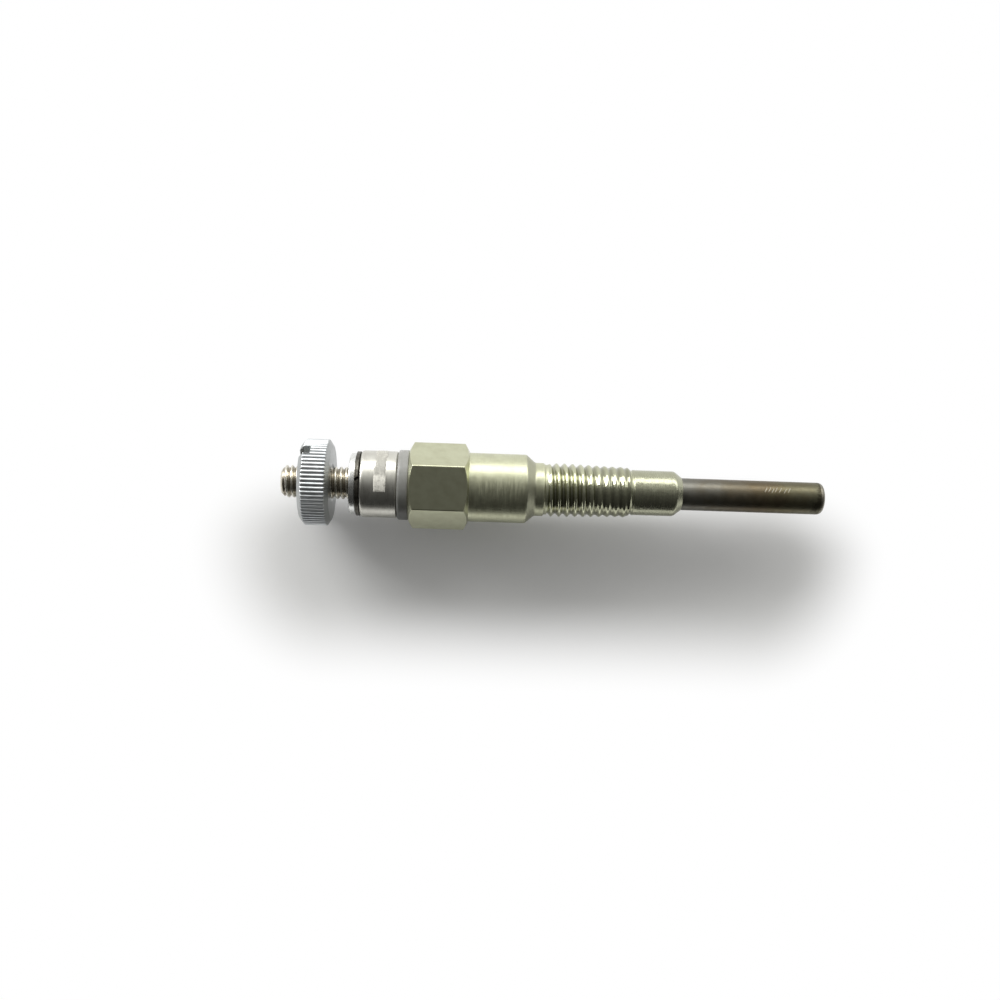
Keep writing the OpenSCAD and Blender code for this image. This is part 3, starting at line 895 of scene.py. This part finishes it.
def fadeToWhite(look, tree, shader):
    # away from the plug, and sooner on the window's side, the paper is burnt out to white;
    # near the plug it keeps the shadow, and far out on the dark side it falls back to its own tone
    parts = surfacePlace(tree)
    past = combine(tree, "SUBTRACT", combine(tree, "ABSOLUTE", parts["X"], 0.0), look["halfLength"] * mm)
    beyond = combine(tree, "MAXIMUM", past, 0.0)
    shifted = combine(tree, "ADD", parts["Y"], look["shadowShift"] * mm)
    towardsWindow = combine(tree, "MULTIPLY", shifted, look["windowSide"])
    aside = combine(tree, "MAXIMUM", towardsWindow, combine(tree, "MULTIPLY", shifted, -1.0))
    away = addNode(tree, "CombineXYZ", {"X": beyond, "Y": aside}).outputs["Vector"]
    distance = addNode(tree, "VectorMath", {0: away}, operation="LENGTH").outputs["Value"]
    fade = addNode(tree, "MapRange", {"Value": distance, "From Min": look["whiteFrom"] * mm,
                                      "From Max": look["whiteAt"] * mm, "To Min": look["shadowLift"]},
                   interpolation_type="SMOOTHSTEP")
    path = addNode(tree, "LightPath", {}).outputs
    mirrored = combine(tree, "MAXIMUM", path["Is Glossy Ray"], path["Is Transmission Ray"])
    seen = combine(tree, "MAXIMUM", path["Is Camera Ray"], mirrored)
    white = addNode(tree, "Emission", {"Strength": 1.0}).outputs["Emission"]
    near = remap(tree, parts["Y"], look["dimAt"] * mm, look["dimFrom"] * mm, 0, 1)
    share = combine(tree, "MULTIPLY", seen, combine(tree, "MULTIPLY", fade.outputs["Result"], near))
    mixed = addNode(tree, "MixShader", {"Fac": share, 1: shader.outputs["BSDF"], 2: white})
    tree.links.new(mixed.outputs["Shader"], tree.nodes["Material Output"].inputs["Surface"])


# bearing is from +Y towards +X, height is the lamp's elevation, both in degrees; brightness is its radiance
lampLook = {
    "windowPanel": {"bearing": 0, "height": 20, "distance": 0.34, "size": (0.34, 0.15), "brightness": 2.7},
    "leftBank": {"bearing": -46, "height": 18, "distance": 0.45, "size": (0.28, 0.18), "brightness": 12.0},
    "rightBank": {"bearing": 46, "height": 18, "distance": 0.45, "size": (0.28, 0.18), "brightness": 2.5},
}


def makeLamp(name, look):
    lamp = bpy.data.lights.new(name, "AREA")
    lamp.shape = "RECTANGLE"
    lamp.size, lamp.size_y = look["size"]
    lamp.energy = look["brightness"] * math.pi * lamp.size * lamp.size_y
    bearing, height = math.radians(look["bearing"]), math.radians(look["height"])
    level = math.cos(height)
    toLamp = Vector((math.sin(bearing) * level, math.cos(bearing) * level, math.sin(height)))
    holder = bpy.data.objects.new(name, lamp)
    holder.location = toLamp * look["distance"]
    holder.rotation_euler = toLamp.to_track_quat("Z", "Y").to_euler()
    holder.visible_camera = False
    bpy.context.scene.collection.objects.link(holder)


# brightness of the room by how far a direction leans towards +Y
roomLook = {
    "tone": (1.0, 1.0, 0.97),
    "lean": [(-0.8, 0.04), (-0.25, 0.085), (-0.05, 0.12), (0.1, 0.16),
             (0.3, 0.25), (0.55, 0.55), (0.8, 0.8)],
}


def makeRoom(look):
    world = bpy.data.worlds.new("dimRoom")
    world.use_nodes = True
    bpy.context.scene.world = world
    tree = world.node_tree
    position = addNode(tree, "TexCoord", {}).outputs["Generated"]
    side = addNode(tree, "SeparateXYZ", {"Vector": position}).outputs["Y"]
    stops = [((lean + 1) / 2, [value * c for c in look["tone"]]) for lean, value in look["lean"]]
    colour = ramp(tree, remap(tree, side, -1, 1, 0, 1), stops)
    tree.links.new(colour, tree.nodes["Background"].inputs["Color"])


cameraLook = {
    "lens": 38.875, "sensor": 36.0, "nearest": 5,
    "foot": (-15.02, 12.24, 201.1), "aim": (-8.624, -2.22, 0.0), "roll": -0.0351,
}


def makeCamera(look):
    camera = bpy.data.cameras.new("photoCamera")
    camera.lens, camera.sensor_width = look["lens"], look["sensor"]
    camera.clip_start = look["nearest"] * mm
    holder = bpy.data.objects.new("photoCamera", camera)
    place = Vector(look["foot"])
    back = (place - Vector(look["aim"])).normalized()
    right = Vector((math.sin(look["roll"]), math.cos(look["roll"]), 0)).cross(back).normalized()
    up = back.cross(right)
    turn = Matrix((right, up, back)).transposed()
    holder.matrix_world = Matrix.Translation(place * mm) @ turn.to_4x4()
    bpy.context.scene.collection.objects.link(holder)
    bpy.context.scene.camera = holder


makeFloor(stageLook)
for name, look in lampLook.items():
    makeLamp(name, look)
makeRoom(roomLook)
makeCamera(cameraLook)
bpy.context.scene.view_settings.view_transform = "Standard"
print("stage, lamps and camera set")
